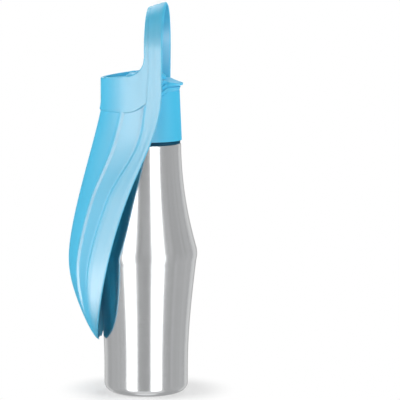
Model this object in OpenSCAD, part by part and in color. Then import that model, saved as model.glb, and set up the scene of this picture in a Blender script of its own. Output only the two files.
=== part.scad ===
// Travel water bottle for dogs: a steel bottle, a screw cap with a pull valve, and a hinged drinking trough.
// Lengths are in millimetres. The bottle's axis is Z, its base is at z = 0 and the trough lies on the +Y side.

/* [Bottle] */
// Radius of the bottle above its rounded foot
base_r = 34.2; // [32:0.1:36]
// Radius of the shoulder crest, the widest part of the bottle
crest_r = 41.6; // [39:0.1:43]
// Height of the shoulder crest
crest_z = 113.5; // [105:0.5:120]
// Radius of the bottle just under its top edge
throat_r = 28.3; // [28:0.1:29.5]
// Height where the steel body starts to turn in at the top
shell_top = 202.5; // [190:0.5:215]
// Thickness of the steel body
steel_wall = 0.6; // [0.5:0.1:1]
// Radius of the rounded foot
foot_r = 7; // [5:0.5:8]
// Height of the straight band above the foot, which a cup holder grips
grip_h = 14; // [10:1:16]
// Radius of the rounded edge at the top of the steel body
shoulder_round = 1.2; // [1:0.1:1.6]
// Width of the flat ring that the bottle stands on
stand_ring_w = 1.2; // [1:0.1:3]
// How far the base disc is recessed above the floor
base_recess = 3; // [2:0.5:5]

/* [Neck] */
// Outer radius of the threaded neck
neck_r = 22.4; // [21.5:0.1:22.8]
// Thickness of the neck
neck_wall = 0.8; // [0.7:0.1:1.2]
// Height of the neck above the steel body
neck_h = 30.3; // [28:0.1:32]
// Distance from one thread turn to the next
thread_pitch = 4; // [3.5:0.1:4.5]
// How far a thread ridge stands out
thread_depth = 1.1; // [0.8:0.1:1.2]
// Number of turns of each thread ridge
thread_turns = 1.5; // [1:0.25:2]
// Height of the dark ring between the bottle and the cap
ring_h = 2.4; // [2:0.1:3]
// How far that ring is set back from the bottle's top edge
ring_inset = 0.7; // [0.5:0.1:1]

/* [Cap] */
// Outer radius of the cap at its lower edge
cap_r = 28.9; // [28.6:0.1:29.5]
// Outer radius of the cap at the height of the arch
cap_top_r = 27.1; // [27:0.1:27.8]
// Height of the cap's side from its lower edge to the top of the arch
cap_side_h = 39.8; // [39:0.1:42]
// Height of the pivot block above the arch
yoke_h = 9.4; // [9:0.1:11]
// Thickness of the blue mouldings
cap_wall = 2.4; // [2:0.1:2.6]
// Thickness of the liner
liner_wall = 1.65; // [1.5:0.05:1.7]
// Thickness of the mouth gasket
gasket_h = 2; // [1.5:0.1:2.5]
// How far the front lip reaches past the cap's side
lip_reach = 2.6; // [1.5:0.1:3]

/* [Valve] */
// Inner radius of the spout
spout_r = 9; // [8.8:0.1:9.5]
// Wall of the spout
spout_wall = 1.6; // [1.4:0.1:1.8]
// Travel of the pull valve
valve_travel = 6; // [5:0.5:6]
// Radius of the valve knob at its lower edge
knob_r = 16.3; // [15.5:0.1:17]
// Height of the valve knob
knob_h = 4.6; // [4:0.1:5.5]
// Radius of the stem
stem_r = 2; // [1.8:0.1:2.2]
// Radius of the hole that the plug closes
seat_r = 5; // [4.5:0.1:5.5]

/* [Hinge] */
// Radius of the pivot pins
pin_r = 2; // [1.8:0.1:2.4]
// Height of the pivot axis above the arch of the cap
pivot_rise = 0.8; // [0.5:0.1:1.2]
// Radius of the bosses on the trough's inner sides
boss_r = 4; // [3.5:0.1:4.2]

/* [Trough] */
// Outer radius of the collar that wraps the cap
collar_r = 36.3; // [36:0.1:37]
// Wall of the trough
trough_wall = 2.2; // [2:0.1:2.6]
// Wall of the carrying hoop
hoop_wall = 3; // [2.6:0.1:3.4]
// Half of the trough's greatest width
leaf_half_w = 44.4; // [43.5:0.1:46]
// Greatest distance of the trough's back from the bottle's axis
leaf_back = 63.9; // [62:0.1:66]
// Depth of the trough's tip below the pivot axis
leaf_drop = 204.8; // [195:0.2:212]
// Gap between the trough's tip and the bottle
tip_gap = 2.8; // [2:0.1:3.5]
// Height of the hoop above the pivot axis
hoop_rise = 70.8; // [66:0.2:75]
// Half of the hoop's outer width at its front edge
hoop_half_w = 39.2; // [38.8:0.1:40]
// Distance of the front edge of the hoop and collar from the bottle's axis
rim_front = 16.2; // [15:0.1:17.5]
// Width of the hoop's band from front to back
band_w = 14.6; // [13:0.1:15]
// Height of the two long ribs on each side of the trough
rib_h = 0.9; // [0.5:0.1:1.3]

/* [Hidden] */
$fn = 96;

// Colours
blue = [0.24, 0.72, 0.92];
navy = [0.06, 0.22, 0.38];
steel = [0.72, 0.73, 0.75];
natural = [0.93, 0.94, 0.94];
silicone = [0.82, 0.86, 0.88];
rubber = [0.12, 0.12, 0.13];

// Clearances
run_gap = 0.3;       // between pieces that move past each other
slide_gap = 0.15;    // round a guided sleeve
seal_gap = 0.02;     // between an O-ring and its bore
pin_gap = 0.06;      // between a pivot pin and its bore in the trough
fit_gap = 0.1;       // between pieces that are put together once
eps = 0.01;

// Bottle
base_disc_r = base_r - foot_r - stand_ring_w;
flange_z = shell_top + shoulder_round;
neck_top = flange_z + neck_h;
crest_half_h = 5.25;
crest_drop = 0.7;
belly_handles = [[0.1, 32], [-2.9, -24.75]];
shoulder_handles = [[-3.3, 12.25], [0.7, -42]];
thread_land = 1.0;
thread_root = 1.9;
thread_z = neck_top - 17;
thread_embed = 0.25;
thread_steps = 30;

// Cap
ring_top = flange_z + ring_h;
cap_z = ring_top + run_gap;
arch_z = cap_z + cap_side_h;
plate_z = arch_z + yoke_h;
gasket_top = neck_top + gasket_h;
liner_bore = neck_r + thread_depth + run_gap;
liner_r = liner_bore + liner_wall;
liner_disc_h = 2.8;
liner_top = gasket_top + liner_disc_h;
liner_bottom = cap_z + 2;
deck_bottom = liner_top + fit_gap;
deck_top = deck_bottom + 4.1;
deck_skin = 1.88;
deck_r = liner_r + fit_gap + deck_skin;
vent_y = 15;
vent_hole_r = 1.6;
vent_cap_r = 2.1;
vent_well_r = 3.6;
air_hole_r = 0.6;
air_hole_at = 2.6;

// The arch of the cap's top, seen from the front: a flat stretch and a falling side. Level 0 is the line where
// the cap's side ends, and level 1 is the outer edge of the pivot block.
arch_flat = [18.9, 22.7];
wing_gap = 3.4;
wing_flare = 2.5;
wing_end_x = collar_r - trough_wall - wing_gap;
arch_end_x = [wing_end_x - wing_flare, wing_end_x];
arch_end_drop = [10.7, 16.2];
arch_side = [[0, 0], [0.66, 0.48], [0.885, 0.785], [1, 1]];
yoke_steps = [0, 0.36, 0.7, 1];
yoke_step_out = [0.3, 0.9, 1.4];
wing_depth = 9;
yoke_pocket_r = cap_top_r - cap_wall - 0.2;
yoke_pocket_level = 0.74;
yoke_pocket_h = 30;
lip_half_w = 20;
lip_h = 1.6;
lip_fall = 3;
lip_edge = 2;
lip_root = spout_r + spout_wall + 7;
plate_skin = 1.5;
lug_w = 8;
lug_side_h = [5.2, 10.5];

// Screws between the cap's deck and the pivot block
screw_r = 1.3;
screw_head_r = 2.4;
screw_head_h = 1.6;
screw_boss_r = 3.1;
screw_at = 14.5;
screw_reach = 7;

// Valve
spout_top = plate_z - 3.8;
spout_collar_h = 2.9;
sleeve_r = spout_r - 0.8;
sleeve_wall = 1.2;
bead_h = 3.2;
bead_top = spout_top - fit_gap - valve_travel;
knob_z = plate_z + run_gap;
knob_top_r = knob_r - 3.2;
knob_skin = 1.2;
hub_r = stem_r + 1.4;
hub_web = 1.2;
port_h = 3.6;
port_w = 6;
o_ring_r = 0.8;
plug_r = seat_r + 1.6;
plug_h = 2.5;
plug_nose_h = 1.8;
stem_flange_r = stem_r + 1.6;
stem_flange_h = 1.2;
stem_end = 1;

// Hinge
pivot_z = arch_z + pivot_rise;
yoke_boss_r = 3.4;
yoke_ear_x = wing_end_x;
washer_h = 0.5;
boss_x = yoke_ear_x + washer_h + fit_gap;
pin_tip_x = collar_r - 1.4;
washer_r = boss_r - 0.6;
pin_start_x = 23;

// Trough: heights and control points of its outlines
tip_z = pivot_z - leaf_drop;
hoop_top = pivot_z + hoop_rise;
collar_top = pivot_z + 10;
fillet_r = 14;
junction_z = collar_top + fillet_r + 3;
arch_centre_rise = 34;
arch_centre_z = pivot_z + arch_centre_rise;
collar_straight = 20;
back_low_handles = [[8.46, 13.5], [0, -27.5]];
back_high_handles = [[0, 34], [2.4, -22]];
rim_top = collar_top - 6;
rim_handles = [[-18, 145], [0, -57]];
width_start = [8, 0.9];
width_low_handles = [[21, 3.1], [-2, -41]];
width_high_handles = [[0, 34], [0, -80]];
collar_flare = 2.2;
tip_lip = 1.2;
tip_reach = 22;
tip_wall_share = 1.35;
tip_least_depth = 0.18;
hoop_flare = 2.8;
hoop_top_flare = 5;
hoop_round = 2.04;
band_back = rim_front - band_w;
section_break = 76;
rib_angle = [47, 70];
rib_spread = 5;
column_angles = [0, 7, 14, 21, 28, 35, 41, 44, 47, 50, 53, 58, 62, 65.5, 68.5, 71.5, 74.5, 77.5, 81, 85.5, 90];
band_first = 17;
row_count = 26;
top_rows = 5;
hoop_rows = 28;

function mix(a, b, t) = a + (b - a) * t;
function clamp01(t) = min(1, max(0, t));
function smooth(t) = let (c = clamp01(t)) c * c * (3 - 2 * c);
function reversed(list) = [for (i = [len(list) - 1:-1:0]) list[i]];

// A curve between two points. Its handles are given from its start and from its end.
function bezier(p, t) =
    pow(1 - t, 3) * p[0] + 3 * pow(1 - t, 2) * t * p[1] + 3 * (1 - t) * t * t * p[2] + pow(t, 3) * p[3];
function bezier_points(p, n) = [for (i = [0:n]) bezier(p, i / n)];
function curve(start, end, handles, n) = bezier_points([start, start + handles[0], end + handles[1], end], n);
function unit(v) = v / norm(v);

// A profile moved to its left by d, for walls of even thickness
function offset_left(points, d) = [
    for (i = [0:len(points) - 1])
        let (
            before = points[max(0, i - 1)],
            after = points[min(len(points) - 1, i + 1)],
            along = unit(after - before)
        )
        points[i] + d * [-along[1], along[0]]
];

// Outer profile of the steel body, from the base disc up to the neck, as [radius, height]
function bottle_profile() = concat(
    [[base_disc_r, 0]],
    [for (a = [-90:15:0]) [base_r - foot_r + foot_r * cos(a), foot_r + foot_r * sin(a)]],
    curve([base_r, foot_r + grip_h], [crest_r - crest_drop, crest_z - crest_half_h], belly_handles, 10),
    [for (a = [-0.5:0.5:0.5]) [crest_r - crest_drop * a * a, crest_z + crest_half_h * a]],
    curve([crest_r - crest_drop, crest_z + crest_half_h], [throat_r, shell_top], shoulder_handles, 11),
    [for (a = [30:30:90])
        [throat_r - shoulder_round + shoulder_round * cos(a), shell_top + shoulder_round * sin(a)]],
    [[neck_r, flange_z]]
);

// Radius of the steel body at a height
function bottle_r(z) = lookup(z, [for (p = bottle_profile()) [p[1], p[0]]]);

// A ridge of one thread: a trapezoid swept along a helix, from the radius r towards r + depth
module thread_ridge(r, depth, z, phase) {
    steps = ceil(thread_turns * thread_steps);
    foot = r - sign(depth) * thread_embed;
    section = [[foot, -thread_root / 2], [r + depth, -thread_land / 2],
        [r + depth, thread_land / 2], [foot, thread_root / 2]];
    points = [
        for (i = [0:steps], p = section)
            let (turn = thread_turns * i / steps, a = phase + 360 * turn)
            [p[0] * cos(a), p[0] * sin(a), z + thread_pitch * turn + p[1]]
    ];
    side = depth > 0 ? [3, 2, 1, 0] : [0, 1, 2, 3];
    faces = concat(
        [[side[0], side[1], side[2]], [side[0], side[2], side[3]]],
        [for (i = [0:steps - 1], j = [0:3])
            let (a = side[j], b = side[(j + 1) % 4])
            each [[4 * i + b, 4 * i + a, 4 * i + 4 + a], [4 * i + b, 4 * i + 4 + a, 4 * i + 4 + b]]],
        [[4 * steps + side[2], 4 * steps + side[1], 4 * steps + side[0]],
            [4 * steps + side[3], 4 * steps + side[2], 4 * steps + side[0]]]
    );
    polyhedron(points, faces);
}

module ring(inner, outer, z, h) {
    translate([0, 0, z])
        difference() {
            cylinder(r = outer, h = h);
            translate([0, 0, -1])
                cylinder(r = inner, h = h + 2);
        }
}

module disc_at(r, z, h) {
    translate([0, 0, z])
        cylinder(r = r, h = h);
}

// A cylinder along X, from x0 to x1, at the height of the pivot axis
module pivot_rod(r, x0, x1) {
    translate([x0, 0, pivot_z])
        rotate([0, 90, 0])
            cylinder(r = r, h = x1 - x0, $fn = 48);
}

module both_sides() {
    children();
    mirror([1, 0, 0])
        children();
}

module at_screws() {
    for (x = [-1, 1], y = [-1, 1])
        translate([x * screw_at, y * screw_at, 0])
            children();
}

module bottle_shell() {
    outer = bottle_profile();
    inner = offset_left(outer, steel_wall);
    color(steel)
        rotate_extrude($fn = 180)
            polygon(concat(outer, reversed(inner)));
}

module base_disc() {
    color(steel)
        union() {
            ring(base_disc_r - steel_wall, base_disc_r, 0, base_recess + steel_wall);
            disc_at(base_disc_r - steel_wall / 2, base_recess, steel_wall);
        }
}

module neck_insert() {
    color(steel)
        union() {
            ring(neck_r - neck_wall, neck_r, flange_z - steel_wall, neck_h + steel_wall);
            thread_ridge(neck_r, thread_depth, thread_z, 0);
        }
}

module shoulder_ring() {
    color(navy)
        ring(neck_r + fit_gap, throat_r - ring_inset, flange_z, ring_h);
}

module mouth_gasket() {
    color(silicone)
        ring(neck_r - neck_wall - 0.6, liner_bore - fit_gap, neck_top, gasket_h);
}

// The corners of the arch at a level from 0 to 1, from its right end to its left end
function arch_top(level) = mix(arch_z, plate_z, level);
function arch_right(level) =
    let (
        flat = mix(arch_flat[0], arch_flat[1], level),
        end_x = mix(arch_end_x[0], arch_end_x[1], level),
        drop = mix(arch_end_drop[0], arch_end_drop[1], level)
    )
    [for (p = reversed(arch_side)) [mix(flat, end_x, p[0]), arch_top(level) - drop * p[1]]];
function arch(level) = let (right = arch_right(level)) concat(right, [for (p = reversed(right)) [-p[0], p[1]]]);

module front_prism(points, depth = 80) {
    rotate([90, 0, 0])
        translate([0, 0, -depth / 2])
            linear_extrude(depth)
                polygon(points);
}

// Everything below the arch at a level
module below_arch(level, floor_z) {
    side = arch(level);
    wide = side[0][0] + 5;
    front_prism(concat([[wide, side[0][1]]], side, [[-wide, side[0][1]], [-wide, floor_z], [wide, floor_z]]));
}

module side_lug() {
    lug_top = arch_z - arch_end_drop[0] - 0.1;
    intersection() {
        front_prism([
            [cap_top_r - cap_wall, lug_top], [cap_r + 1, lug_top],
            [cap_r + 1, lug_top - lug_side_h[0]], [cap_top_r - cap_wall, lug_top - lug_side_h[1]]
        ], lug_w);
        disc_at(cap_r + 0.6, lug_top - lug_side_h[1] - 1, lug_side_h[1] + 2);
    }
}

module cap_shell() {
    color(blue)
        difference() {
            union() {
                intersection() {
                    rotate_extrude()
                        polygon([
                            [0, cap_z], [cap_r, cap_z], [deck_r, deck_bottom], [cap_top_r, arch_z], [0, arch_z]
                        ]);
                    below_arch(0, cap_z - 1);
                }
                both_sides()
                    side_lug();
            }
            disc_at(liner_r + fit_gap, cap_z - 1, deck_bottom - cap_z + 1);
            disc_at(cap_top_r - cap_wall, deck_top, arch_z - deck_top + 1);
            disc_at(spout_r + spout_wall + fit_gap, deck_bottom - 1, deck_top - deck_bottom + 2);
            at_screws() {
                disc_at(screw_r + fit_gap, deck_bottom - 1, deck_top - deck_bottom + 2);
                disc_at(screw_head_r + fit_gap, deck_bottom - 1, 1 + fit_gap + screw_head_h);
            }
            translate([0, vent_y, 0])
                disc_at(vent_well_r, deck_bottom - 1, deck_top - deck_bottom + 2);
        }
}

module cap_liner() {
    chamfer = 0.8;
    color(natural)
        difference() {
            union() {
                rotate_extrude()
                    polygon([
                        [liner_bore, liner_bottom], [liner_r, liner_bottom], [liner_r, liner_top - chamfer],
                        [liner_r - chamfer, liner_top], [0, liner_top], [0, gasket_top], [liner_bore, gasket_top]
                    ]);
                disc_at(spout_r + spout_wall, liner_top - eps, spout_top - liner_top + eps);
                thread_ridge(liner_bore, -thread_depth, thread_z + thread_pitch / 2, 0);
            }
            disc_at(spout_r, liner_top, spout_top - liner_top + 1);
            disc_at(seat_r, gasket_top - 1, liner_disc_h + 2);
            translate([0, vent_y, 0]) {
                disc_at(vent_hole_r, gasket_top - 1, liner_disc_h + 2);
                for (a = [0, 120, 240])
                    rotate([0, 0, a])
                        translate([air_hole_at, 0, 0])
                            disc_at(air_hole_r, gasket_top - 1, liner_disc_h + 2);
            }
        }
}

module spout_collar() {
    color(blue)
        ring(sleeve_r + slide_gap, spout_r + spout_wall, spout_top, spout_collar_h);
}

module vent_valve() {
    umbrella_r = 4.6;
    umbrella_h = 1;
    vent_cap_h = 0.8;
    color(silicone)
        translate([0, vent_y, 0])
            union() {
                disc_at(vent_hole_r - fit_gap, gasket_top - umbrella_h, umbrella_h + liner_disc_h + eps);
                disc_at(umbrella_r, gasket_top - fit_gap - umbrella_h, umbrella_h);
                disc_at(vent_cap_r, liner_top, vent_cap_h);
            }
}

// The footprint of one step of the pivot block, with its two wings
module yoke_footprint(r, z, h) {
    disc_at(r, z, h);
    translate([-arch_end_x[1], -wing_depth, z])
        cube([2 * arch_end_x[1], 2 * wing_depth, h]);
}

module yoke_step(i) {
    low = arch(yoke_steps[i]);
    high = arch(yoke_steps[i + 1]);
    bottom = arch_z - arch_end_drop[1];
    intersection() {
        front_prism(concat(high, reversed(low)));
        yoke_footprint(cap_top_r + yoke_step_out[i], bottom, plate_z - bottom + 1);
    }
}

// The lip at the front of the plate, which falls towards its edge
module yoke_lip() {
    front = cap_top_r + lip_reach;
    intersection() {
        translate([-lip_half_w, 0, 0])
            rotate([90, 0, 90])
                linear_extrude(2 * lip_half_w)
                    polygon([
                        [-front - 1, plate_z - lip_fall], [-front + lip_edge, plate_z - lip_fall],
                        [-lip_root, plate_z], [-lip_root, plate_z - lip_fall - lip_h],
                        [-front - 1, plate_z - lip_fall - lip_h]
                    ]);
        disc_at(front, plate_z - lip_fall - lip_h - 1, lip_fall + lip_h + 2);
    }
}

module pivot_yoke() {
    color(blue)
        difference() {
            union() {
                difference() {
                    for (i = [0:len(yoke_steps) - 2])
                        yoke_step(i);
                    intersection() {
                        below_arch(yoke_pocket_level, arch_z - yoke_pocket_h);
                        disc_at(yoke_pocket_r, arch_z - yoke_pocket_h, 2 * yoke_pocket_h);
                    }
                    // The front of the plate is cut to the slope of the lip
                    translate([-40, 0, 0])
                        rotate([90, 0, 90])
                            linear_extrude(80)
                                polygon([
                                    [-cap_top_r - lip_reach + lip_edge, plate_z - lip_fall],
                                    [-lip_root, plate_z], [-lip_root, plate_z + 5], [-50, plate_z + 5],
                                    [-50, plate_z - lip_fall]
                                ]);
                }
                yoke_lip();
                at_screws()
                    disc_at(screw_boss_r, deck_top, plate_z - plate_skin - deck_top);
                both_sides()
                    pivot_rod(yoke_boss_r, pin_start_x, yoke_ear_x);
            }
            disc_at(spout_r + spout_wall + fit_gap, deck_top - 1, plate_z - deck_top + 10);
            both_sides()
                pivot_rod(pin_r, pin_start_x - 1, yoke_ear_x + 1);
            at_screws()
                disc_at(screw_r, deck_top - 1, screw_reach + 1 + fit_gap);
        }
}

module yoke_screws() {
    color(steel)
        at_screws()
            union() {
                disc_at(screw_head_r, deck_bottom + fit_gap / 2, screw_head_h);
                disc_at(screw_r, deck_bottom + fit_gap, deck_top - deck_bottom + screw_reach - fit_gap);
            }
}

module pivot_pins() {
    color(steel)
        both_sides()
            pivot_rod(pin_r, pin_start_x, pin_tip_x);
}

module hinge_washers() {
    color(rubber)
        both_sides()
            difference() {
                pivot_rod(washer_r, yoke_ear_x, yoke_ear_x + washer_h);
                pivot_rod(pin_r, yoke_ear_x - 1, yoke_ear_x + washer_h + 1);
            }
}

module valve_knob() {
    groove_z = bead_top - bead_h / 2;
    sleeve_inner = sleeve_r - sleeve_wall;
    bead_z = bead_top - bead_h;
    hub_h = knob_z + knob_skin + 0.8 - bead_z;
    color(blue)
        difference() {
            union() {
                rotate_extrude()
                    polygon([
                        [sleeve_inner, knob_z + knob_skin], [sleeve_inner, bead_z],
                        [spout_r - slide_gap, bead_z],
                        [spout_r - slide_gap, groove_z - o_ring_r], [spout_r - 2 * o_ring_r, groove_z - o_ring_r],
                        [spout_r - 2 * o_ring_r, groove_z + o_ring_r], [spout_r - slide_gap, groove_z + o_ring_r],
                        [spout_r - slide_gap, bead_top], [sleeve_r, bead_top], [sleeve_r, knob_z],
                        [knob_r, knob_z], [knob_r - 0.4, knob_z + knob_h * 0.55],
                        [knob_top_r + 0.6, knob_z + knob_h - 0.3], [knob_top_r, knob_z + knob_h],
                        [0, knob_z + knob_h], [0, knob_z + knob_skin]
                    ]);
                disc_at(hub_r, bead_z, hub_h);
                for (a = [0:120:240])
                    rotate([0, 0, a])
                        translate([0, -hub_web / 2, bead_z])
                            cube([sleeve_inner + 0.2, hub_web, hub_h]);
            }
            disc_at(stem_r, bead_z - 1, knob_z + knob_skin + 1 - bead_z);
            for (a = [60:120:300])
                rotate([0, 0, a])
                    translate([hub_r + 1, -port_w / 2, plate_z - valve_travel + 0.2])
                        cube([spout_r, port_w, port_h]);
        }
}

module knob_o_ring() {
    color(rubber)
        translate([0, 0, bead_top - bead_h / 2])
            rotate_extrude()
                translate([spout_r - seal_gap - o_ring_r, 0])
                    circle(r = o_ring_r - seal_gap, $fn = 32);
}

module valve_stem() {
    color(natural)
        union() {
            disc_at(stem_r, liner_top - stem_end, knob_z + knob_skin - liner_top + stem_end);
            disc_at(stem_flange_r, liner_top + plug_h, stem_flange_h);
        }
}

module valve_plug() {
    color(silicone)
        difference() {
            union() {
                disc_at(plug_r, liner_top, plug_h);
                disc_at(seat_r - slide_gap - fit_gap, liner_top - plug_nose_h, plug_nose_h + eps);
            }
            disc_at(stem_r, liner_top - stem_end, plug_h + stem_end + 1);
        }
}

// Outlines of the trough as [height, distance] tables, each from a curve through named places
function by_height(points) = [for (p = points) [p[1], p[0]]];
tip_y = bottle_r(tip_z) + tip_gap;
leaf_back_z = tip_z + 67;
back_table = by_height(concat(
    curve([tip_y + trough_wall * 0.7, tip_z], [leaf_back, leaf_back_z], back_low_handles, 12),
    curve([leaf_back, leaf_back_z], [collar_r, collar_top - collar_straight], back_high_handles, 16)
));
rim_table = by_height(curve([tip_y, tip_z], [-rim_front, rim_top], rim_handles, 24));
width_table = by_height(concat(
    [[0, tip_z]],
    curve([width_start[0], tip_z + width_start[1]], [leaf_half_w, leaf_back_z], width_low_handles, 14),
    curve([leaf_half_w, leaf_back_z], [collar_r + collar_flare, collar_top - 10], width_high_handles, 12),
    [[hoop_half_w, arch_centre_z]]
));

function rim_y(z) = lookup(z, rim_table);
function back_y(z) = lookup(z, back_table);
function half_w(z) = lookup(z, width_table);

// How far a rib stands out at an angle from the middle of the back
function rib(angle, z) =
    let (fade = smooth((collar_top - 24 - z) / 14) * smooth((z - tip_z - 6) / 30))
    rib_h * fade * max([for (a = rib_angle) max(0, 1 - abs(angle - a) / rib_spread)]);

// A point of the trough's outer face. The angle runs from -90 at the left rim to 90 at the right rim. The
// section is a half ellipse low down and a round collar with flared sides at the top.
function leaf_point(angle, z) =
    let (
        side = sign(angle),
        a = abs(angle),
        out = half_w(z),
        rim = rim_y(z),
        back = back_y(z),
        stand = 1 + rib(a, z) / leaf_half_w,
        bowl = [out * sin(a) * stand, rim + (back - rim) * cos(a) * stand],
        round_angle = 90 * a / section_break,
        flare = (a - section_break) / (90 - section_break),
        collar = a < section_break
            ? [collar_r * sin(round_angle), back * cos(round_angle)]
            : [mix(collar_r, out, flare), rim * flare],
        p = mix(bowl, collar, smooth((z - collar_top + 96) / 76))
    )
    [side * p[0], p[1], z];

// A point of the hoop's outer face. The turn runs from 0 at the right side to 180 at the left side, and the
// share runs from 0 at the back edge to 1 at the front edge.
function hoop_point(turn, share) =
    let (
        half = mix(hoop_half_w - hoop_flare, hoop_half_w, share),
        top = mix(hoop_top - hoop_top_flare, hoop_top, share),
        power = 2 / hoop_round,
        c = cos(turn),
        s = sin(turn)
    )
    [
        half * sign(c) * pow(abs(c), power),
        -mix(band_back, rim_front, share),
        arch_centre_z + (top - arch_centre_z) * pow(max(0, s), power)
    ];

function leaf_normal(angle, z) =
    let (
        h = max(z, tip_z + 5),
        da = angle < 0 ? 0.5 : -0.5,
        across = (leaf_point(angle + da, h) - leaf_point(angle, h)) * sign(da),
        up = leaf_point(angle, h + 0.4) - leaf_point(angle, h)
    )
    unit(cross(up, across));
function hoop_normal(turn, share) =
    let (
        ds = share < 0.5 ? 0.05 : -0.05,
        along = hoop_point(turn + 0.5, share) - hoop_point(turn - 0.5, share),
        out = (hoop_point(turn, share + ds) - hoop_point(turn, share)) * sign(ds)
    )
    unit(cross(along, out));

// The collar's top edge rises in a fillet to the hoop's back edge
function top_edge(angle) =
    let (
        y = leaf_point(angle, collar_top)[1],
        reach = clamp01((fillet_r - band_back - y) / fillet_r)
    )
    abs(angle) >= column_angles[band_first]
        ? junction_z
        : junction_z - fillet_r * sqrt(1 - reach * reach) - 3 * clamp01((y - fillet_r) / (collar_r - fillet_r));

columns = concat([for (i = [len(column_angles) - 1:-1:1]) -column_angles[i]], column_angles);
column_last = len(columns) - 1;
band_last = len(column_angles) - 1 - band_first;
row_base = collar_top - 26;

function row_z(i, angle) =
    i <= row_count - top_rows
        ? tip_z + tip_lip + (row_base - tip_z - tip_lip) * pow(i / (row_count - top_rows), 1.6)
        : mix(row_base, top_edge(angle), (i - row_count + top_rows) / top_rows);

// Turns of the hoop's rows. Row 0 and the last row are the leaf's own top row, so they aren't in the list.
function hoop_turn(k) = 180 * k / hoop_rows;

leaf_rows = [for (i = [0:row_count]) [for (a = columns) [a, row_z(i, a)]]];
function wall_at(angle, z) =
    mix(trough_wall, hoop_wall, smooth((abs(angle) - 60) / 20) * smooth((z - collar_top + 40) / 60));

// A point of the trough's inner face. Near the tip it is level with the outer point and stays behind the rim,
// so that the tip ends in a solid lip.
function leaf_inside(angle, z) =
    let (
        wall = wall_at(angle, z),
        p = leaf_point(angle, z),
        rim = rim_y(z),
        depth = back_y(z) - rim,
        level = [
            p[0] * (1 - wall / half_w(z)),
            rim + (p[1] - rim) * max(1 - tip_wall_share * wall / depth, tip_least_depth),
            z
        ]
    )
    mix(level, p - wall * leaf_normal(angle, z), smooth((z - tip_z - tip_lip) / tip_reach));

leaf_outer = [for (row = leaf_rows, p = row) leaf_point(p[0], p[1])];
leaf_inner = [for (row = leaf_rows, p = row) leaf_inside(p[0], p[1])];
hoop_outer = [for (k = [0:hoop_rows], m = [0:band_last]) hoop_point(hoop_turn(k), m / band_last)];
hoop_inner = [for (k = [0:hoop_rows], m = [0:band_last])
    hoop_point(hoop_turn(k), m / band_last) - hoop_wall * hoop_normal(hoop_turn(k), m / band_last)];

leaf_count = len(leaf_outer);
hoop_count = len(hoop_outer);
function leaf_id(i, j, inner) = (inner ? leaf_count : 0) + i * (column_last + 1) + j;
// Hoop rows from -1, which is the leaf's top row on the right, to hoop_rows + 1, the same on the left
function hoop_id(k, m, inner) =
    k < 0 ? leaf_id(row_count, column_last - band_last + m, inner)
    : k > hoop_rows ? leaf_id(row_count, band_last - m, inner)
    : 2 * leaf_count + (inner ? hoop_count : 0) + k * (band_last + 1) + m;

function quad(a, b, c, d) = [[a, c, b], [a, d, c]];

module trough_sheet() {
    faces = concat(
        [for (i = [0:row_count - 1], j = [0:column_last - 1])
            each concat(
                quad(leaf_id(i, j, false), leaf_id(i + 1, j, false),
                    leaf_id(i + 1, j + 1, false), leaf_id(i, j + 1, false)),
                quad(leaf_id(i, j, true), leaf_id(i, j + 1, true),
                    leaf_id(i + 1, j + 1, true), leaf_id(i + 1, j, true))
            )],
        [for (i = [0:row_count - 1])
            each concat(
                quad(leaf_id(i, 0, false), leaf_id(i, 0, true),
                    leaf_id(i + 1, 0, true), leaf_id(i + 1, 0, false)),
                quad(leaf_id(i, column_last, false), leaf_id(i + 1, column_last, false),
                    leaf_id(i + 1, column_last, true), leaf_id(i, column_last, true))
            )],
        [for (j = [0:column_last - 1])
            each quad(leaf_id(0, j, false), leaf_id(0, j + 1, false), leaf_id(0, j + 1, true), leaf_id(0, j, true))],
        [for (j = [band_last:column_last - band_last - 1])
            each quad(leaf_id(row_count, j, false), leaf_id(row_count, j, true),
                leaf_id(row_count, j + 1, true), leaf_id(row_count, j + 1, false))],
        [for (k = [-1:hoop_rows], m = [0:band_last - 1])
            each concat(
                quad(hoop_id(k, m, false), hoop_id(k + 1, m, false),
                    hoop_id(k + 1, m + 1, false), hoop_id(k, m + 1, false)),
                quad(hoop_id(k, m, true), hoop_id(k, m + 1, true),
                    hoop_id(k + 1, m + 1, true), hoop_id(k + 1, m, true))
            )],
        [for (k = [-1:hoop_rows])
            each concat(
                quad(hoop_id(k, 0, false), hoop_id(k, 0, true), hoop_id(k + 1, 0, true), hoop_id(k + 1, 0, false)),
                quad(hoop_id(k, band_last, false), hoop_id(k + 1, band_last, false),
                    hoop_id(k + 1, band_last, true), hoop_id(k, band_last, true))
            )]
    );
    polyhedron(concat(leaf_outer, leaf_inner, hoop_outer, hoop_inner), faces, convexity = 10);
}

module trough() {
    color(blue)
        difference() {
            union() {
                trough_sheet();
                both_sides()
                    pivot_rod(boss_r, boss_x, collar_r - trough_wall / 2);
            }
            both_sides()
                pivot_rod(pin_r + pin_gap, boss_x - 1, pin_tip_x + run_gap);
        }
}

bottle_shell();
base_disc();
neck_insert();
shoulder_ring();
mouth_gasket();
cap_shell();
cap_liner();
spout_collar();
vent_valve();
pivot_yoke();
yoke_screws();
pivot_pins();
hinge_washers();
valve_knob();
knob_o_ring();
valve_stem();
valve_plug();
trough();
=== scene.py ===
"""A travel water bottle for dogs: a brushed steel body, a screw cap with a pull valve, and a satin blue
trough with its carrying hoop. Lengths in the tables are in millimetres."""

import math

import bmesh
import bpy
import numpy as np
from mathutils import Matrix, Vector, kdtree


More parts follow.
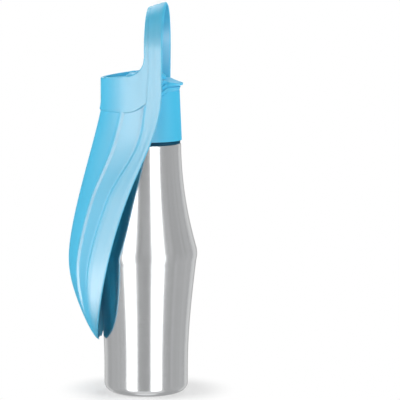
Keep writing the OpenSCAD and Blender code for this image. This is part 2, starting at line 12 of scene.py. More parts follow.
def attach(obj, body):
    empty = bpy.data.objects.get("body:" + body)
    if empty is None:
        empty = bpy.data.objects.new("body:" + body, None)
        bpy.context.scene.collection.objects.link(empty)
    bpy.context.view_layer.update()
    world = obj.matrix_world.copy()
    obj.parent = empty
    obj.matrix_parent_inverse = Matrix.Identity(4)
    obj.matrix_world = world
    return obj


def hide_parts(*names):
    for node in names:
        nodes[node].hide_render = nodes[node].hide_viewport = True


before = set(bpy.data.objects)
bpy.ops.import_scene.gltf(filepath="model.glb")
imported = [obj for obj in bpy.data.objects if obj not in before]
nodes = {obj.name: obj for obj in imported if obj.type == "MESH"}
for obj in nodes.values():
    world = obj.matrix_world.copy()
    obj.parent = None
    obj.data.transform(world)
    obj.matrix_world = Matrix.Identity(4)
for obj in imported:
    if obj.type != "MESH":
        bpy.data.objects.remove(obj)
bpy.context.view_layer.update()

MM = 0.001


# Shapes that the mouldings share

def ease(t):
    t = np.clip(t, 0.0, 1.0)
    return t * t * (3 - 2 * t)


def mix(a, b, t):
    return a + (b - a) * t


def curve(start, end, handles, steps):
    """Points of a curve whose two handles are given from its start and from its end."""
    start, end = np.array(start, float), np.array(end, float)
    first, last = start + handles[0], end + handles[1]
    t = np.linspace(0, 1, steps + 1)[:, None]
    return (1 - t) ** 3 * start + 3 * (1 - t) ** 2 * t * first + 3 * (1 - t) * t ** 2 * last + t ** 3 * end


# Sizes of the steel body
BASE_R = 34.2
FOOT_R = 7.0
GRIP_TOP = 21.0
CREST_R = 41.6
CREST_Z = 113.5
CREST_HALF = 5.25
CREST_DROP = 0.7
THROAT_R = 28.3
SHELL_TOP = 202.5
SHOULDER_ROUND = 1.2
FLANGE_Z = SHELL_TOP + SHOULDER_ROUND
STEEL_WALL = 0.6
NECK_R = 22.4
STAND_R = 26.0
RECESS = 3.0
DISC_STEP = 0.35
DISC_STEP_FROM = 7.0
DISC_STEP_TO = 8.2
DISC_HOLLOW_R = 4.0
RING_TOP = 206.1
RING_R = 27.6

# Sizes of the pivot block: its bands with their radius and the levels they run between
CAP_EDGE_Z = 246.2
PLATE_Z = 255.6
WING_DEPTH = 9.0
WING_EASE = 4.0
BANDS = ((27.4, 0, 0.36), (28.0, 0.36, 0.7), (28.5, 0.7, 1))
BAND_FOOT_R = 26.7
BAND_EDGE_R = 27.8
BAND_SLACK = 0.2
LIP_FROM_R = 28.75
LIP_FLAT = 9.0
LIP_RUN_OUT = 11.0
# Its arch at the cap's edge and at the block's top: where the level middle stops, where the arch ends and how
# far it falls between them, and then the fall's form as shares of the way out and of the fall
ARCH_FLAT = (18.9, 22.7)
ARCH_END = (28.2, 30.7)
ARCH_FALL = (10.7, 16.2)
ARCH_FORM = ([0, 0.66, 0.885, 1], [0, 0.48, 0.785, 1])

# Sizes of the trough
PIVOT_Z = 247.0
TIP_Z = 42.2
TIP_Y = 37.95
LEAF_BACK = 63.9
LEAF_BACK_Z = TIP_Z + 67
LEAF_HALF = 44.4
COLLAR_R = 36.3
COLLAR_TOP = 257.0
RIM_FRONT = 16.2
BAND_BACK = 1.6
JUNCTION_Z = 274.0
FILLET_R = 14.0
ARCH_Z = 281.0
HOOP_TOP = 317.8
HOOP_HALF = 39.2
HOOP_FLARE = 2.8
HOOP_TOP_FLARE = 5.0
HOOP_ROUND = 2.04
SECTION_BREAK = 76.0
HOOP_BACK_ANGLE = 77.5
WALL = 2.2
HOOP_WALL = 3.0
TIP_LIP = 1.2
BOSS_X = 31.3
BOSS_R = 4.0
BOSS_SINK = 0.9
BORE_R = 2.06
BORE_END = 35.2


# Working in edit mode

def clear_selection():
    if bpy.context.object and bpy.context.object.mode != "OBJECT":
        bpy.ops.object.mode_set(mode="OBJECT")
    bpy.ops.object.select_all(action="DESELECT")


def pick(piece):
    clear_selection()
    piece.select_set(True)
    bpy.context.view_layer.objects.active = piece


def named(name):
    piece = bpy.context.object
    piece.name = name
    piece.data.name = name
    return piece


def settle(piece):
    """Moves the piece's place into its mesh, so that its object sits at the origin."""
    pick(piece)
    bpy.ops.object.transform_apply(location=True, rotation=True, scale=True)
    return piece


def apply_modifiers(piece):
    pick(piece)
    for modifier in list(piece.modifiers):
        bpy.ops.object.modifier_apply(modifier=modifier.name)


def smooth(piece, degrees):
    pick(piece)
    bpy.ops.object.shade_smooth_by_angle(angle=math.radians(degrees))


def turned(name, profile, segments):
    """A turned piece. The profile is a closed line of [radius, height], with the outside on its right
    as it goes up."""
    clear_selection()
    (r, z), rest = profile[0], profile[1:]
    bpy.ops.mesh.primitive_circle_add(vertices=segments, radius=r * MM, location=(0, 0, z * MM))
    piece = named(name)
    bpy.ops.object.mode_set(mode="EDIT")
    for next_r, next_z in rest:
        bpy.ops.mesh.extrude_region_move(TRANSFORM_OT_translate={"value": (0, 0, (next_z - z) * MM)})
        bpy.ops.transform.resize(value=(next_r / r, next_r / r, 1))
        r, z = next_r, next_z
    bpy.ops.mesh.extrude_region_move(TRANSFORM_OT_translate={"value": (0, 0, (profile[0][1] - z) * MM)})
    bpy.ops.transform.resize(value=(profile[0][0] / r, profile[0][0] / r, 1))
    bpy.ops.mesh.select_all(action="SELECT")
    bpy.ops.mesh.remove_doubles(threshold=0.01 * MM)
    bpy.ops.mesh.normals_make_consistent(inside=False)
    bpy.ops.object.mode_set(mode="OBJECT")
    return settle(piece)


def rounded(corners, radius, steps=4):
    """A closed profile with its corners rounded."""
    points = []
    count = len(corners)
    for i, corner in enumerate(corners):
        here = np.array(corner, float)
        back = np.array(corners[i - 1], float) - here
        ahead = np.array(corners[(i + 1) % count], float) - here
        reach = min(radius, 0.45 * np.linalg.norm(back), 0.45 * np.linalg.norm(ahead))
        start = here + back / np.linalg.norm(back) * reach
        end = here + ahead / np.linalg.norm(ahead) * reach
        for t in np.linspace(0, 1, steps + 1):
            points.append(tuple((1 - t) ** 2 * start + 2 * t * (1 - t) * here + t * t * end))
    return points


# Edges flatter than this are shaded smooth, and those of a moulding sharper than the second are rounded
SMOOTH_ANGLE = 50
BEVEL_FROM_ANGLE = 28
BEVEL_SEGMENTS = 3


def eased_copy(name, node, width, reshape=None):
    """A copy of a solid whose sharp edges are rounded, as they are on a moulding."""
    source = nodes[node]
    piece = source.copy()
    piece.data = source.data.copy()
    bpy.context.scene.collection.objects.link(piece)
    piece.name = name
    piece.data.name = name
    piece.data.materials.clear()
    pick(piece)
    bpy.ops.object.mode_set(mode="EDIT")
    bpy.ops.mesh.select_all(action="SELECT")
    bpy.ops.mesh.customdata_custom_splitnormals_clear()
    bpy.ops.mesh.remove_doubles(threshold=0.02 * MM)
    bpy.ops.mesh.dissolve_limited(angle_limit=math.radians(0.6), delimit={"NORMAL"})
    bpy.ops.object.mode_set(mode="OBJECT")
    if reshape:
        reshape(piece)
    bevel = piece.modifiers.new("eased edges", "BEVEL")
    bevel.width = width * MM
    bevel.segments = BEVEL_SEGMENTS
    bevel.limit_method = "ANGLE"
    bevel.angle_limit = math.radians(BEVEL_FROM_ANGLE)
    bevel.miter_outer = "MITER_ARC"
    apply_modifiers(piece)
    smooth(piece, SMOOTH_ANGLE)
    even = piece.modifiers.new("even shading", "WEIGHTED_NORMAL")
    even.weight = 80
    even.keep_sharp = True
    apply_modifiers(piece)
    return piece


# How finely the level of a place on the block's arch is looked up
LEVEL_STEPS = 200


def arch_height(x, level):
    """Height of the pivot block's arch across it. Level 0 is the cap's edge and 1 the block's top."""
    flat = mix(*ARCH_FLAT, level)
    end = mix(*ARCH_END, level)
    along = np.clip((np.abs(x) - flat) / (end - flat), 0, 1)
    return mix(CAP_EDGE_Z, PLATE_Z, level) - mix(*ARCH_FALL, level) * np.interp(along, *ARCH_FORM)


def slant_bands(block):
    """Slants the three bands at the pivot block's front and back, so that each has a narrow ledge on top, and
    lets the ends of the front lip run out into the block."""
    spots = np.array([v.co for v in block.data.vertices]) / MM
    x, y, z = spots.T
    reach = np.hypot(x, y)
    levels = np.linspace(0, 1, LEVEL_STEPS + 1)
    level = levels[np.argmin([np.abs(arch_height(x, one) - z) for one in levels], axis=0)]
    wanted = reach.copy()
    for radius, low, high in BANDS:
        on_band = np.abs(reach - radius) < BAND_SLACK
        slanted = mix(BAND_FOOT_R, BAND_EDGE_R, np.clip((level - low) / (high - low), 0, 1))
        wanted = np.where(on_band, slanted, wanted)
    on_lip = reach > LIP_FROM_R
    wanted = np.where(on_lip, mix(reach, BAND_EDGE_R, ease((np.abs(x) - LIP_FLAT) / LIP_RUN_OUT)), wanted)
    share = ease((np.abs(y) - WING_DEPTH) / WING_EASE)
    spots[:, :2] *= (1 + (wanted / np.maximum(reach, 1) - 1) * share)[:, None]
    block.data.vertices.foreach_set("co", (spots * MM).reshape(-1))
    block.data.update()


# The steel body and what is joined to it

def body_profile():
    line = [(STAND_R, 0.0)]
    for turn in np.radians(np.linspace(-90, 0, 15)):
        line.append((BASE_R - FOOT_R + FOOT_R * math.cos(turn), FOOT_R + FOOT_R * math.sin(turn)))
    line += list(map(tuple, curve(
        (BASE_R, GRIP_TOP), (CREST_R - CREST_DROP, CREST_Z - CREST_HALF), ((0.1, 32), (-2.9, -24.75)), 30)))
    for a in np.linspace(-0.5, 0.5, 9)[1:-1]:
        line.append((CREST_R - CREST_DROP * (2 * a) ** 2, CREST_Z + 2 * CREST_HALF * a))
    line += list(map(tuple, curve(
        (CREST_R - CREST_DROP, CREST_Z + CREST_HALF), (THROAT_R, SHELL_TOP),
        ((-3.3, 12.25), (0.7, -42)), 30)))
    for turn in np.radians(np.linspace(0, 90, 7))[1:]:
        line.append((THROAT_R - SHOULDER_ROUND + SHOULDER_ROUND * math.cos(turn),
                     SHELL_TOP + SHOULDER_ROUND * math.sin(turn)))
    line.append((NECK_R, FLANGE_Z))
    return line


def inner_side(line, wall):
    """The same line a wall's thickness further in."""
    points = np.array(line)
    ahead = np.vstack([points[1:], points[-1:]])
    behind = np.vstack([points[:1], points[:-1]])
    along = ahead - behind
    along /= np.linalg.norm(along, axis=1)[:, None]
    return [tuple(p) for p in points + wall * np.stack([-along[:, 1], along[:, 0]], 1)]


def make_steel_body():
    outer = body_profile()
    inner = inner_side(outer, STEEL_WALL)
    body = turned("steel_body", outer + inner[::-1], 160)
    smooth(body, SMOOTH_ANGLE)
    return body


def make_stand_disc():
    low, high = RECESS, RECESS + STEEL_WALL
    corners = [
        (STAND_R - STEEL_WALL, 0.0), (STAND_R, 0.0), (STAND_R, high), (STAND_R - DISC_STEP_FROM, high),
        (STAND_R - DISC_STEP_TO, high + DISC_STEP), (DISC_HOLLOW_R, high + DISC_STEP),
        (DISC_HOLLOW_R, low + DISC_STEP), (STAND_R - DISC_STEP_TO, low + DISC_STEP),
        (STAND_R - DISC_STEP_FROM, low), (STAND_R - STEEL_WALL, low)
    ]
    disc = turned("stand_disc", rounded(corners, 0.25, 3), 96)
    smooth(disc, SMOOTH_ANGLE)
    return disc


# The ring fills the gap under the cap. Its dark navy colour is painted shade of that gap.
def make_shoulder_ring():
    corners = [(NECK_R + 0.1, FLANGE_Z), (RING_R, FLANGE_Z), (RING_R, RING_TOP), (NECK_R + 0.1, RING_TOP)]
    ring = turned("shoulder_gap_shade_ring", rounded(corners, 0.45), 128)
    smooth(ring, SMOOTH_ANGLE)
    return ring


# The trough's outlines as tables of height and distance

def table(*parts):
    points = np.vstack(parts)
    order = np.argsort(points[:, 1], kind="stable")
    return points[order, 1], points[order, 0]


BACK = table(
    curve((TIP_Y + WALL * 0.7, TIP_Z), (LEAF_BACK, LEAF_BACK_Z), ((8.46, 13.5), (0, -27.5)), 60),
    curve((LEAF_BACK, LEAF_BACK_Z), (COLLAR_R, COLLAR_TOP - 20), ((0, 34), (2.4, -22)), 80))
RIM = table(curve((TIP_Y, TIP_Z), (-RIM_FRONT, COLLAR_TOP - 6), ((-18, 145), (0, -57)), 100))
HALF = table(
    np.array([[0, TIP_Z]]),
    curve((8, TIP_Z + 0.9), (LEAF_HALF, LEAF_BACK_Z), ((21, 3.1), (-2, -41)), 60),
    curve((LEAF_HALF, LEAF_BACK_Z), (COLLAR_R + 2.2, COLLAR_TOP - 10), ((0, 34), (0, -80)), 60),
    np.array([[HOOP_HALF, ARCH_Z]]))
# The section turns from the bowl's into the collar's from this far below the collar's top, over this height
SECTION_FROM = 96.0
SECTION_RUN = 76.0
# Angles of the two long ridges at each height
RIDGE_1 = ([42, 110, 165, 215, 232, 262], [44, 45, 47, 51, 54, 56])
RIDGE_2 = ([42, 110, 180, 215, 242, 262], [63, 66, 71, 77, 79.5, 81])


def leaf(angle, z):
    """Points of the leaf's plain outer face. The angle runs from -90 at the left rim to 90 at the right."""
    a = np.abs(angle)
    out = np.interp(z, *HALF)
    rim = np.interp(z, *RIM)
    back = np.interp(z, *BACK)
    bowl_x = out * np.sin(np.radians(a))
    bowl_y = rim + (back - rim) * np.cos(np.radians(a))
    turn = np.radians(90 * a / SECTION_BREAK)
    flare = (a - SECTION_BREAK) / (90 - SECTION_BREAK)
    collar_x = np.where(a < SECTION_BREAK, COLLAR_R * np.sin(turn), mix(COLLAR_R, out, flare))
    collar_y = np.where(a < SECTION_BREAK, back * np.cos(turn), rim * flare)
    share = ease((z - COLLAR_TOP + SECTION_FROM) / SECTION_RUN)
    return np.stack([
        np.sign(angle) * mix(bowl_x, collar_x, share), mix(bowl_y, collar_y, share), z + 0 * a], -1)


def leaf_normal(angle, z):
    """Outward directions of the leaf's face, from small steps across and up, steady round the tip."""
    h = np.maximum(z, TIP_Z + 5)
    lean = np.where(np.abs(angle) > 89, np.sign(angle) * -0.6, 0)
    across = leaf(angle + lean + 0.4, h) - leaf(angle + lean - 0.4, h)
    up = leaf(angle, h + 0.8) - leaf(angle, h)
    normal = np.cross(across, up)
    return -normal / np.linalg.norm(normal, axis=-1)[..., None]


# How much lower the collar's top edge is at the back
TOP_DIP = 3.0


def top_edge(angle):
    """Height of the collar's top edge, which rises in a fillet to the hoop's back edge."""
    y = leaf(angle, np.full_like(angle, COLLAR_TOP))[..., 1]
    reach = np.clip((FILLET_R - BAND_BACK - y) / FILLET_R, 0, 1)
    dip = TOP_DIP * np.clip((y - FILLET_R) / (COLLAR_R - FILLET_R), 0, 1)
    low = JUNCTION_Z - FILLET_R * np.sqrt(1 - reach * reach) - dip
    return np.where(np.abs(angle) >= HOOP_BACK_ANGLE, JUNCTION_Z, low)


# The step under the collar: its height at the back, how far it rises, from which Y on and over what depth,
# the turn at which it ends, and a height within its run
SEAM_Z = 231.2
SEAM_RISE = 17.0
SEAM_RISE_FROM = 13.5
SEAM_RISE_DEPTH = 19.3
SEAM_END_TURN = 97
SEAM_MIDDLE_Z = 238.0


def seam_height(angle):
    """Height of the step under the collar, level at the back and rising more and more towards the flange."""
    y = COLLAR_R * np.cos(np.radians(np.minimum(90 * np.abs(angle) / SECTION_BREAK, SEAM_END_TURN)))
    share = np.clip((SEAM_RISE_FROM - y) / SEAM_RISE_DEPTH, 0, 1)
    return SEAM_Z + SEAM_RISE * (1 - np.sqrt(1 - share ** 2))


def seam_stretch(angle):
    """How much longer a step across the seam is when it is measured upright."""
    low, high = angle - 0.25, angle + 0.25
    run = np.linalg.norm(leaf(high, SEAM_MIDDLE_Z) - leaf(low, SEAM_MIDDLE_Z), axis=-1)
    steep = (seam_height(high) - seam_height(low)) / run
    return np.sqrt(1 + steep ** 2)


# Columns of the leaf's mesh: places from the middle of the back to the rim. The ridges' own columns are a
# number of millimetres from the ridge.
RIDGE_1_AT = [-3.4, -2.7, -2.2, -1.7, -1.3, -0.9, -0.45, 0, 0.45, 0.9, 1.3, 1.7, 2.2, 2.7, 3.4]
RIDGE_2_AT = [-4.06, -3.4, -2.7, -2.1, -1.6, -1.2, -0.85, -0.5, -0.2, 0.05, 0.3, 0.7, 1.3, 2.2]
RIM_AT = [2.6, 1.9, 1.3, 0.85, 0.5, 0.22, 0]
BACK_COLUMNS = 16
SIDE_COLUMNS = 14
FLANGE_COLUMNS = 9
# Where half the leaf's section is shorter than this, as at the tip, the columns draw closer together
FULL_GIRTH = 62.0


def half_columns(z):
    """Angles of the columns from the middle of the back to the rim, at each of some heights."""
    ones = np.ones_like(z)
    ridge_1 = np.interp(z, *RIDGE_1)
    ridge_2 = np.interp(z, *RIDGE_2)

    def mm_per_degree(angle):
        step = leaf(angle + 0.5 * (angle < 89), z) - leaf(angle - 0.5, z)
        length = np.linalg.norm(step, axis=-1)
        return np.maximum(length / (0.5 + 0.5 * (angle < 89)), 0.02)

    girth = sum(mm_per_degree(a * ones) for a in (10, 30, 50, 70, 85)) * 18
    squeeze = np.clip(girth / FULL_GIRTH, 0.03, 1)
    at_1 = [ridge_1 + d * squeeze / mm_per_degree(ridge_1) for d in RIDGE_1_AT]
    at_2 = [ridge_2 + d * squeeze / mm_per_degree(ridge_2) for d in RIDGE_2_AT]
    at_rim = [90 - d * squeeze / mm_per_degree(89.5 * ones) for d in RIM_AT]
    back = [mix(0 * z, at_1[0], t) for t in np.linspace(0, 1, BACK_COLUMNS + 1)[:-1]]
    side = [mix(at_1[-1], at_2[0], 1 - (1 - t) ** 1.9) for t in np.linspace(0, 1, SIDE_COLUMNS + 1)[1:-1]]
    flange = [mix(at_2[-1], at_rim[0], t) for t in np.linspace(0, 1, FLANGE_COLUMNS + 1)[1:-1]]
    return np.stack(back + at_1 + side + at_2 + flange + at_rim, -1)


HOOP_COLUMN = BACK_COLUMNS + len(RIDGE_1_AT) + SIDE_COLUMNS - 1
LOW_ROWS = 62
HIGH_ROWS = 18
TIP_AT = [0, 0.15, 0.4, 0.8, 1.3]
SEAM_AT = [-2.6, -1.8, -1.3, -0.95, -0.6, -0.3, 0.0, 0.3, 0.7, 1.4]
TOP_AT = [1.9, 1.3, 0.85, 0.5, 0.22, 0]


def row_heights(angle):
    """Heights of the rows at each column's angle, from the tip to the top edge. Shape: rows, columns."""
    seam = seam_height(angle)
    stretch = seam_stretch(angle)
    top = top_edge(angle)
    start = TIP_Z + TIP_LIP
    rows = [start + d for d in TIP_AT[:-1]]
    low = start + TIP_AT[-1]
    under, over = seam + SEAM_AT[0] * stretch, seam + SEAM_AT[-1] * stretch
    rows += [mix(low, under, t ** 1.25) for t in np.linspace(0, 1, LOW_ROWS + 1)[:-1]]
    rows += [seam + d * stretch for d in SEAM_AT]
    rows += [mix(over, top - TOP_AT[0], t) for t in np.linspace(0, 1, HIGH_ROWS + 1)[1:-1]]
    rows += [top - d for d in TOP_AT]
    return np.stack([row + 0 * angle for row in rows], 0)


def leaf_grid():
    """Angle and height of every vertex of the leaf's face. The columns follow the ridges and the rows follow
    the seam, so each is worked out from the other a few times."""
    heights = row_heights(half_columns(np.array([200.0]))[0])
    rows, columns = range(heights.shape[0]), np.arange(heights.shape[1])
    for _ in range(4):
        angles = np.stack([half_columns(heights[i])[columns, columns] for i in rows], 0)
        angles[:, 0] = 0
        heights = np.stack([row_heights(angles[i])[i] for i in rows], 0)
    angles = np.concatenate([-angles[:, :0:-1], angles], 1)
    heights = np.concatenate([heights[:, :0:-1], heights], 1)
    return angles, heights


def arc_from(angle, z, ridge):
    """Millimetres along the section from a ridge, positive towards the rim."""
    a = np.abs(angle)
    line = np.interp(z, *ridge)
    middle = np.clip((a + line) / 2, 0.5, 89.4)
    step = leaf(middle + 0.5, z) - leaf(middle - 0.5, z)
    return (a - line) * np.linalg.norm(step, axis=-1)


# Depths of the relief, and where it starts above the tip
RAISED = 0.5
PANEL = -0.5
BACK_HOLLOW = 1.1
SIDE_HOLLOW = 0.8
CHANNEL = 0.3
GROOVE = 0.3
ROLL = 0.75
RELIEF_FROM = 50.0
# From the hoop's back edge to the flange's line
HOOP_LINE_AT = 3.86


def hollows(angle, z):
    """How far both faces of the wall are drawn in, so that the panels between the ridges are nearly flat."""
    from_1 = arc_from(angle, z, RIDGE_1)
    from_2 = arc_from(angle, z, RIDGE_2)
    back_width = np.maximum(-arc_from(0 * angle, z, RIDGE_1), 1)
    back = np.clip(1 + from_1 / back_width, 0, 1)
    side = np.clip(from_1 / np.maximum(from_1 - from_2, 1), 0, 1)
    # Both forms reach 1 at their deepest place
    depth = BACK_HOLLOW * 6.75 * back ** 2 * (1 - back) + SIDE_HOLLOW * 4 * side * (1 - side)
    return depth * ease((z - RELIEF_FROM) / 40) * ease((seam_height(angle) - z) / 30)


def flange_channel(place, width):
    """The shallow channel along the middle of a flange, at a place across its width."""
    return CHANNEL * ease((0.19 * width - np.abs(place - 0.5 * width)) / 1.3)


def fine_line(distance):
    """The fine sunk line along the flange."""
    return GROOVE * ease(1 - np.abs(distance) / 0.9)


def relief(angle, z):
    """How far the outer face stands out: sunk panels between a ridge, a flange and the collar."""
    from_1 = arc_from(angle, z, RIDGE_1)
    from_2 = arc_from(angle, z, RIDGE_2)
    to_rim = arc_from(angle, z, ([0, 400], [90, 90])) * -1
    above_seam = (z - seam_height(angle)) / seam_stretch(angle)
    # Shares from 0 to 1 that say where each form is, with their edges' widths in millimetres
    fade = ease((z - RELIEF_FROM) / 34)
    below = ease((0.4 - above_seam) / 1.6)
    ridge = ease((2.5 - np.abs(from_1)) / 1.7)
    flange = ease((from_2 + 1.1) / 1.4)
    groove = ease(1 - np.abs(from_2 + 1.9) / 1.5)
    level = RAISED - below * (1 - np.maximum(ridge, flange)) * (RAISED - PANEL + GROOVE * groove)
    flange_width = np.maximum(to_rim + from_2, 6)
    roll = np.clip(1 - to_rim / (0.52 * flange_width), 0, 1)
    level = level - (ROLL * roll ** 1.5 + flange_channel(to_rim, flange_width)) * (from_2 > 0)
    line_above = (1 - below) * fine_line(from_2 + 0.2)
    return mix(0.0, level - line_above, fade)


def wall_at(angle, z):
    """Thickness of the wall, which grows up the sides of the collar into the hoop's."""
    return mix(WALL, HOOP_WALL, ease((np.abs(angle) - 60) / 20) * ease((z - COLLAR_TOP + 40) / 60))


# The inner face near the tip: how much thicker its wall is there, the least share of the outer depth that it
# keeps, and the height over which it turns into a face of even distance
TIP_WALL_GAIN = 1.35
TIP_LEAST_DEPTH = 0.18
TIP_BLEND = 22.0


def leaf_inside(angle, z):
    """The inner face. Near the tip it is level with the outer face and stays behind the rim."""
    wall = wall_at(angle, z)[..., None]
    p = leaf(angle, z)
    rim = np.interp(z, *RIM)
    depth = np.interp(z, *BACK) - rim
    level = np.stack([
        p[..., 0] * (1 - wall[..., 0] / np.interp(z, *HALF)),
        rim + (p[..., 1] - rim) * np.maximum(1 - TIP_WALL_GAIN * wall[..., 0] / depth, TIP_LEAST_DEPTH),
        z], -1)
    inward = wall + hollows(angle, z)[..., None]
    return mix(level, p - inward * leaf_normal(angle, z), ease((z - TIP_Z - TIP_LIP) / TIP_BLEND)[..., None])


def hoop(turn, share):
    """Points of the hoop's outer face. The turn runs from 0 at the right side to 180 at the left side."""
    half = mix(HOOP_HALF - HOOP_FLARE, HOOP_HALF, share)
    top = mix(HOOP_TOP - HOOP_TOP_FLARE, HOOP_TOP, share)
    c, s = np.cos(np.radians(turn)), np.sin(np.radians(turn))
    power = 2 / HOOP_ROUND
    return np.stack([
        half * np.sign(c) * np.abs(c) ** power,
        -mix(BAND_BACK, RIM_FRONT, share),
        ARCH_Z + (top - ARCH_Z) * np.maximum(0, s) ** power], -1)


def hoop_normal(turn, share):
    lean = np.where(share < 0.5, 0.05, -0.05)
    along = hoop(turn + 0.5, share) - hoop(turn - 0.5, share)
    across = (hoop(turn, share + lean) - hoop(turn, share)) * np.sign(lean)[..., None]
    normal = np.cross(along, across)
    return normal / np.linalg.norm(normal, axis=-1)[..., None]


def hoop_relief(share):
    """The flange's line and its rolled front run on round the hoop."""
    width = RIM_FRONT - BAND_BACK
    from_line = share * width - HOOP_LINE_AT
    roll = np.clip((share - 0.62) / 0.38, 0, 1) ** 1.5
    return RAISED - fine_line(from_line) - ROLL * roll - flange_channel(from_line, width - HOOP_LINE_AT)


def lay_sheet(name, points):
    """A grid whose vertices are laid on a face. The points have the shape rows, columns, 3."""
    rows, columns = points.shape[:2]
    clear_selection()
    bpy.ops.mesh.primitive_grid_add(x_subdivisions=columns - 1, y_subdivisions=rows - 1, size=1)
    sheet = named(name)
    sheet.data.vertices.foreach_set("co", (points * MM).reshape(-1))
    sheet.data.update()
    return sheet


def boundary_loops(mesh):
    """The open edges of a mesh, as sets of edge numbers of one loop each."""
    bm = bmesh.new()
    bm.from_mesh(mesh)
    open_edges = {e.index for e in bm.edges if e.is_boundary}
    bm.edges.ensure_lookup_table()
    loops = []
    while open_edges:
        todo = [open_edges.pop()]
        loop = set(todo)
        while todo:
            for v in bm.edges[todo.pop()].verts:
                for e in v.link_edges:
                    if e.index in open_edges:
                        open_edges.remove(e.index)
                        loop.add(e.index)
                        todo.append(e.index)
        loops.append(loop)
    bm.free()
    return loops


# How far in from an edge the rounding starts, and the most that a face is drawn in, as a share of the wall
EDGE_ROUND = 0.95
DRAW_IN_LIMIT = 0.46


def round_edges(points, normals, edge_points, across):
    """Draws a face in towards the middle of the wall close to its edges, so that the rims are rounded. It
    never passes the middle of the wall, whose other face is across."""
    tree = kdtree.KDTree(len(edge_points))
    for i, p in enumerate(edge_points):
        tree.insert(p, i)
    tree.balance()
    flat = points.reshape(-1, 3)
    gap = np.array([tree.find(p)[2] for p in flat]).reshape(points.shape[:2])
    inside = np.clip(EDGE_ROUND - gap, 0, EDGE_ROUND)
    draw_in = EDGE_ROUND - np.sqrt(EDGE_ROUND ** 2 - inside ** 2)
    draw_in = np.minimum(draw_in, DRAW_IN_LIMIT * np.linalg.norm(points - across, axis=-1))
    return points - normals * draw_in[..., None]


def dense(line):
    """The same line with six points for each one."""
    line = np.asarray(line)
    steps = np.linspace(0, 1, 6, endpoint=False)[:, None]
    return np.concatenate([a + (b - a) * steps for a, b in zip(line[:-1], line[1:])] + [line[-1:]])


# Steps round the hoop, rows in each of its legs, and how far the leg follows the faces that it joins
HOOP_STEPS = 108
LEG_ROWS = 5
LEG_PULL = 7.0


def add_legs(arch, sheet, sides):
    """Adds the short legs between the leaf's top row and the hoop, with an even bend."""
    legs = []
    for columns, foot in zip(sides, (arch[0], arch[-1])):
        top = sheet[-1, columns]
        rise = top - sheet[-2, columns]
        rise = rise / np.linalg.norm(rise, axis=-1)[:, None] * LEG_PULL
        lift = np.zeros_like(rise)
        lift[:, 2] = LEG_PULL
        leg = []
        for t in np.linspace(0, 1, LEG_ROWS + 1)[:-1]:
            top_share = 2 * t ** 3 - 3 * t ** 2 + 1
            rise_share = t ** 3 - 2 * t ** 2 + t
            foot_share = -2 * t ** 3 + 3 * t ** 2
            lift_share = t ** 3 - t ** 2
            leg.append(top_share * top + rise_share * rise + foot_share * foot + lift_share * lift)
        legs.append(leg)
    return np.concatenate([np.array(legs[0]), arch, np.array(legs[1][::-1])], 0)


def edges_of(leaf_sheet, hoop_sheet, sides):
    """Points along all the open edges of the leaf and its hoop."""
    right, left = sides
    lines = [
        leaf_sheet[:, 0], leaf_sheet[:, -1], leaf_sheet[0],
        leaf_sheet[-1, left[0]:right[0] + 1], hoop_sheet[:, 0], hoop_sheet[:, -1]]
    return np.concatenate([dense(line) for line in lines])


def sheet_normals(sheet):
    """Directions across a grid of points, upwards at its middle."""
    rows = np.gradient(sheet, axis=0)
    columns = np.gradient(sheet, axis=1)
    normal = np.cross(columns, rows)
    normal = normal / np.maximum(np.linalg.norm(normal, axis=-1), 1e-9)[..., None]
    return -normal if normal[sheet.shape[0] // 2, sheet.shape[1] // 2, 2] < 0 else normal


def join_sheets(pieces):
    pick(pieces[0])
    for piece in pieces[1:]:
        piece.select_set(True)
    bpy.ops.object.join()
    joined = bpy.context.object
    bpy.ops.object.mode_set(mode="EDIT")
    bpy.ops.mesh.select_all(action="SELECT")
    bpy.ops.mesh.remove_doubles(threshold=0.004 * MM)
    bpy.ops.object.mode_set(mode="OBJECT")
    return joined


def make_trough():
    angles, heights = leaf_grid()
    leaf_out_n = leaf_normal(angles, heights)
    stand_out = relief(angles, heights) - hollows(angles, heights)
    leaf_out = leaf(angles, heights) + stand_out[..., None] * leaf_out_n
    leaf_in = leaf_inside(angles, heights)
    last = angles.shape[1] - 1
    right = np.arange(last // 2 + HOOP_COLUMN, last + 1)
    left = last - right
    sides = (right, left)

    across = arc_from(angles[-1, right], heights[-1, right], ([0, 400], [HOOP_BACK_ANGLE] * 2))
    share = across / across[-1]
    turn_grid, share_grid = np.meshgrid(np.linspace(0, 180, HOOP_STEPS + 1), share, indexing="ij")
    hoop_n = hoop_normal(turn_grid, share_grid)
    plain_hoop = hoop(turn_grid, share_grid)
    hoop_out = add_legs(plain_hoop + hoop_relief(share_grid)[..., None] * hoop_n, leaf_out, sides)
    hoop_in = add_legs(plain_hoop - HOOP_WALL * hoop_n, leaf_in, sides)

    faces = []
    for name, leaf_sheet, hoop_sheet, far_leaf, far_hoop, sign in (
            ("moulding", leaf_out, hoop_out, leaf_in, hoop_in, 1),
            ("moulding_inside", leaf_in, hoop_in, leaf_out, hoop_out, -1)):
        edge_points = edges_of(leaf_sheet, hoop_sheet, sides)
        laid_leaf = round_edges(leaf_sheet, sign * leaf_out_n, edge_points, far_leaf)
        laid_hoop = round_edges(hoop_sheet, sign * sheet_normals(hoop_sheet), edge_points, far_hoop)
        laid_hoop[0] = laid_leaf[-1, right]
        laid_hoop[-1] = laid_leaf[-1, left]
        faces.append([lay_sheet(name, laid_leaf), lay_sheet(name + "_hoop", laid_hoop)])

    outer_sheet, inner_sheet = [join_sheets(face) for face in faces]
    trough = close_wall(outer_sheet, inner_sheet)
    for sign in (1, -1):
        boss = make_boss(sign)
        union = trough.modifiers.new("boss", "BOOLEAN")
        union.operation = "UNION"
        union.solver = "MANIFOLD"
        union.object = boss
        apply_modifiers(trough)
        bpy.data.objects.remove(boss)
    trough.name = "trough_moulding"
    trough.data.name = trough.name
    smooth(trough, 48)
    return trough


